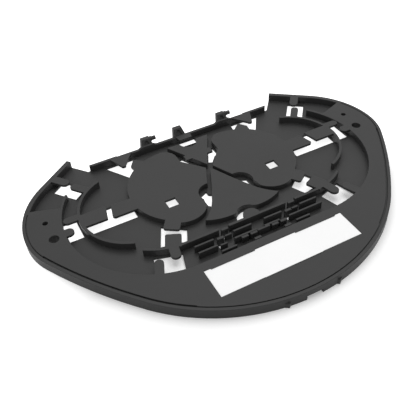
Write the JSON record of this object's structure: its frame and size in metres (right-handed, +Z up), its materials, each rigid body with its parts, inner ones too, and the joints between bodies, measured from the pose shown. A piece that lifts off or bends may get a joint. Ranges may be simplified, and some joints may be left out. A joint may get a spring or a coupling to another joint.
{
  "type": "fibre splitter cassette",
  "caption": "Low black moulded fibre splitter cassette with round bend islands, hold-down tabs, a splitter comb, hinge arms and a blank label card",
  "frame": {"origin": "middle of the tray's length and width, on the surface that it lies on", "axes": "X along the length, Y from the rounded front to the hinge side, Z up through the open side"},
  "size_m": [0.1926, 0.1334, 0.0083],
  "materials": {
    "tray_plastic": "fine satin moulded finish",
    "label_film": "plain matt white film"
  },
  "bodies": {
    "root": {"cassette_tray": "tray_plastic", "label_card": "label_film"}
  },
  "joints": []
}
